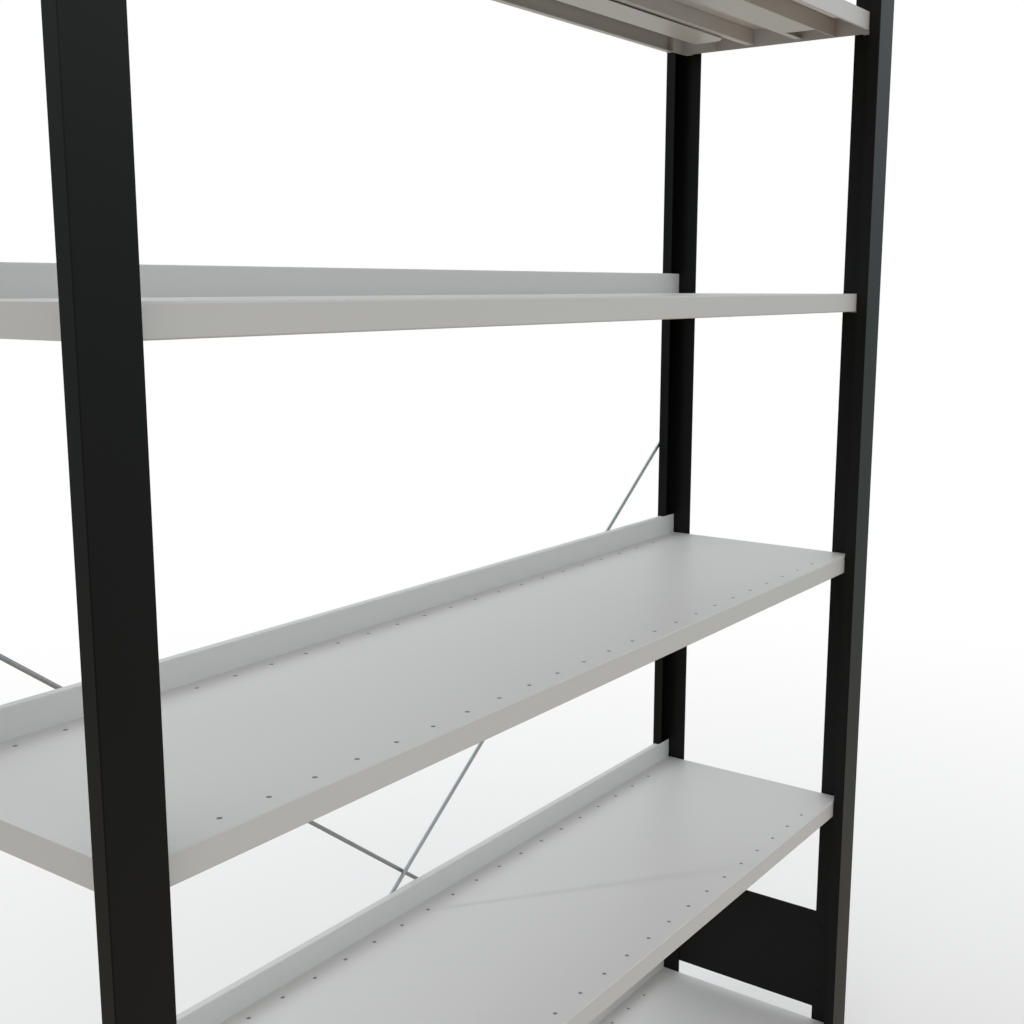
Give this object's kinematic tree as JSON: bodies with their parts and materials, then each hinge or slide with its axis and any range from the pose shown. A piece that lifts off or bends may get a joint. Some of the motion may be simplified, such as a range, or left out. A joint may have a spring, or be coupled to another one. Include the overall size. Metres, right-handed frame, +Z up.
{
  "type": "office shelving unit",
  "caption": "Free-standing open shelving bay: black T-section end frames, pale grey folded shelves with rear stops hung on hook clips, and a tensioned rod cross brace.",
  "frame": {"origin": "on the floor, in the middle of the unit, which is the centre of the rectangle of floor anchors", "axes": "+X along the shelves to the right as seen from the front, +Y to the rear, +Z up"},
  "size_m": [1.358, 0.3466, 2.003],
  "materials": {
    "frame_paint": "satin black powder coat",
    "shelf_paint": "satin pale grey powder coat",
    "zinc": "bright zinc plating",
    "cap_plastic": "fine moulded grain"
  },
  "bodies": {
    "frame": {"brace_a_lower_rod": "zinc", "brace_a_upper_rod": "zinc", "brace_b_lower_rod": "zinc", "brace_b_upper_rod": "zinc", "brace_bolts": "zinc", "brace_lock_nuts": "zinc", "brace_nuts": "zinc", "brace_spacers": "zinc", "cap_front_left": "cap_plastic", "cap_front_right": "cap_plastic", "cap_rear_left": "cap_plastic", "cap_rear_right": "cap_plastic", "foot_bolts": "zinc", "foot_front_left": "frame_paint", "foot_front_right": "frame_paint", "foot_nuts": "zinc", "foot_rear_left": "frame_paint", "foot_rear_right": "frame_paint", "shelf_1_clips": "shelf_paint", "shelf_2_clips": "shelf_paint", "shelf_3_clips": "shelf_paint", "shelf_4_clips": "shelf_paint", "shelf_5_clips": "shelf_paint", "shelf_6_clips": "shelf_paint", "tie_plate_left_lower": "frame_paint", "tie_plate_left_upper": "frame_paint", "tie_plate_right_lower": "frame_paint", "tie_plate_right_upper": "frame_paint", "tie_plate_rivets": "frame_paint", "upright_front_left": "frame_paint", "upright_front_right": "frame_paint", "upright_rear_left": "frame_paint", "upright_rear_right": "frame_paint"},
    "shelf_1": {"shelf_1_stiffener_front": "shelf_paint", "shelf_1_stiffener_rear": "shelf_paint", "shelf_1_tray": "shelf_paint"},
    "shelf_2": {"shelf_2_stiffener_front": "shelf_paint", "shelf_2_stiffener_rear": "shelf_paint", "shelf_2_tray": "shelf_paint"},
    "shelf_3": {"shelf_3_stiffener_front": "shelf_paint", "shelf_3_stiffener_rear": "shelf_paint", "shelf_3_tray": "shelf_paint"},
    "shelf_4": {"shelf_4_stiffener_front": "shelf_paint", "shelf_4_stiffener_rear": "shelf_paint", "shelf_4_tray": "shelf_paint"},
    "shelf_5": {"shelf_5_stiffener_front": "shelf_paint", "shelf_5_stiffener_rear": "shelf_paint", "shelf_5_tray": "shelf_paint"},
    "shelf_6": {"shelf_6_stiffener_front": "shelf_paint", "shelf_6_stiffener_rear": "shelf_paint", "shelf_6_tray": "shelf_paint"},
    "sleeve_a": {"brace_a_tension_sleeve": "zinc"},
    "sleeve_b": {"brace_b_tension_sleeve": "zinc"}
  },
  "joints": [
    {"name": "shelf_1_lift", "type": "slide", "parent": "frame", "child": "shelf_1", "axis": [0, 0, 1], "range_m": [0, 0.28]},
    {"name": "shelf_2_lift", "type": "slide", "parent": "frame", "child": "shelf_2", "axis": [0, 0, 1], "range_m": [0, 0.28]},
    {"name": "shelf_3_lift", "type": "slide", "parent": "frame", "child": "shelf_3", "axis": [0, 0, 1], "range_m": [0, 0.28]},
    {"name": "shelf_4_lift", "type": "slide", "parent": "frame", "child": "shelf_4", "axis": [0, 0, 1], "range_m": [0, 0.28]},
    {"name": "shelf_5_lift", "type": "slide", "parent": "frame", "child": "shelf_5", "axis": [0, 0, 1], "range_m": [0, 0.28]},
    {"name": "shelf_6_lift", "type": "slide", "parent": "frame", "child": "shelf_6", "axis": [0, 0, 1], "range_m": [0, 0.28]},
    {"name": "sleeve_a_turn", "type": "hinge", "parent": "frame", "child": "sleeve_a", "pos_m": [0.32, 0.1678, 0.76046], "axis": [0.7937, 0, 0.6084], "continuous": true},
    {"name": "sleeve_b_turn", "type": "hinge", "parent": "frame", "child": "sleeve_b", "pos_m": [-0.32, 0.1731, 0.76046], "axis": [-0.7937, 0, 0.6084], "continuous": true}
  ]
}
